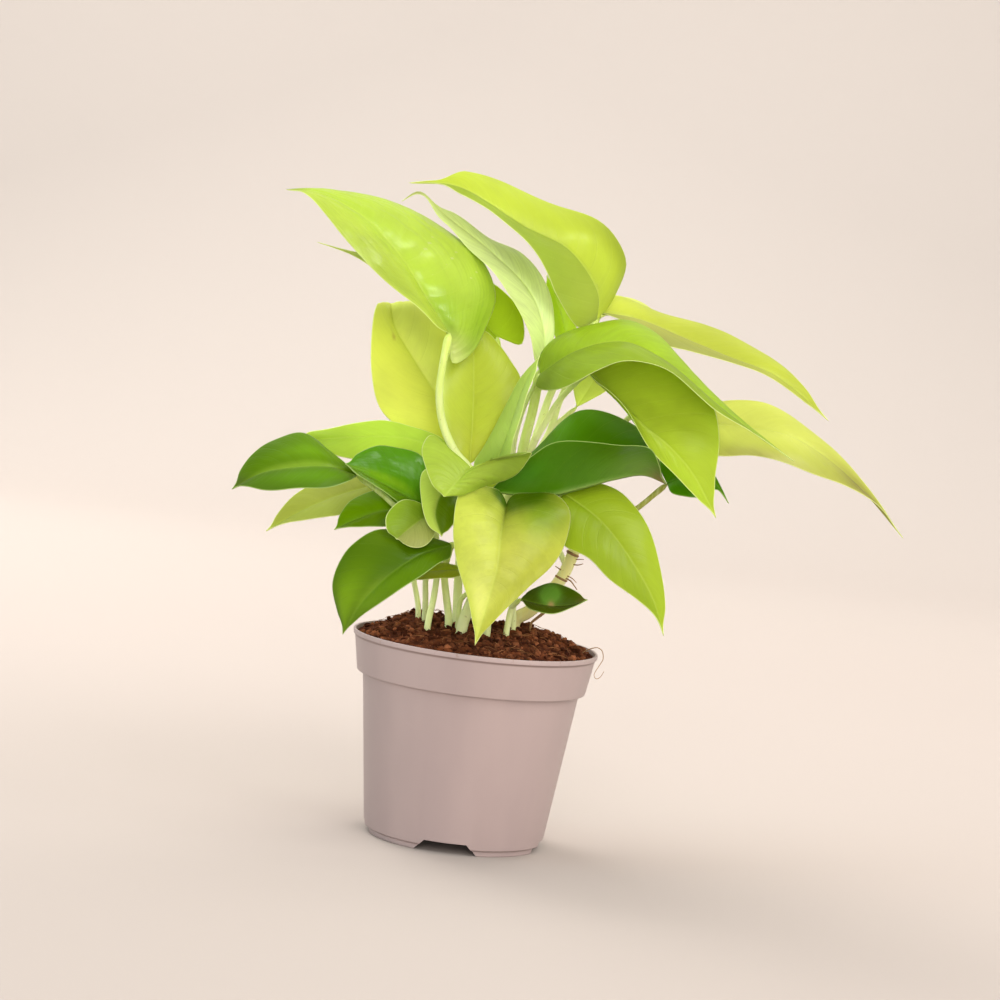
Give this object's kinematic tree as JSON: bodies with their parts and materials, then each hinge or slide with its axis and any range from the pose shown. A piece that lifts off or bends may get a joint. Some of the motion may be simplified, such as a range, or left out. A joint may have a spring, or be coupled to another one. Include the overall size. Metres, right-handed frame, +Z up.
{
  "type": "potted golden pothos",
  "caption": "Young golden pothos with bright lime to dark green heart-shaped leaves on long pale stems, in a round tapered plastic nursery pot with a stepped collar.",
  "frame": {"origin": "centre of the pot's underside, on the plane it stands on", "axes": "+Z up along the pot, +X towards the side that the longest leaves reach to, -Y towards the viewer of the source picture"},
  "size_m": [0.2735, 0.1566, 0.2711],
  "materials": {
    "pot_plastic": "satin",
    "soil": "matte",
    "stem": "satin",
    "leaf_lime": "satin",
    "leaf_yellow": "satin",
    "leaf_olive": "satin",
    "leaf_dark": "satin",
    "leaf_pale": "satin"
  },
  "bodies": {
    "root": {"pot": "pot_plastic", "soil": "soil", "vine_olive": "stem", "vine_far_left": "stem", "vine_left": "stem", "vine_low": "stem", "vine_short": "stem", "vine_centre": "stem", "vine_tall": "stem", "vine_front": "stem", "vine_boat": "stem", "vine_right": "stem", "vine_rooted": "stem", "leaf_top_left": "leaf_lime", "leaf_left_yellow": "leaf_yellow", "leaf_centre": "leaf_yellow", "leaf_centre_edge": "leaf_olive", "leaf_back_left": "leaf_olive", "leaf_pale_arch": "leaf_pale", "leaf_top_yellow": "leaf_yellow", "leaf_wedge": "leaf_olive", "leaf_right_arch": "leaf_lime", "leaf_right_olive": "leaf_olive", "leaf_far_right_top": "leaf_yellow", "leaf_back_top": "leaf_yellow", "leaf_far_right": "leaf_yellow", "leaf_dark_boat": "leaf_dark", "leaf_dark_right": "leaf_dark", "leaf_front_yellow": "leaf_yellow", "leaf_right_lower": "leaf_lime", "leaf_cup": "leaf_lime", "leaf_shadow": "leaf_olive", "leaf_left_lime": "leaf_lime", "leaf_far_left_dark": "leaf_dark", "leaf_left_olive": "leaf_olive", "leaf_left_small": "leaf_dark", "leaf_dark_gloss": "leaf_dark", "leaf_round_lobe": "leaf_lime", "leaf_lower_left": "leaf_dark", "leaf_low_back": "leaf_olive", "leaf_soil_curl": "leaf_dark", "leaf_back_small": "leaf_pale", "leaf_rear_low_left": "leaf_lime", "leaf_rear_low_right": "leaf_dark", "leaf_rear_middle": "leaf_lime", "leaf_rear_high": "leaf_lime", "leaf_rear_right": "leaf_yellow"}
  },
  "joints": []
}
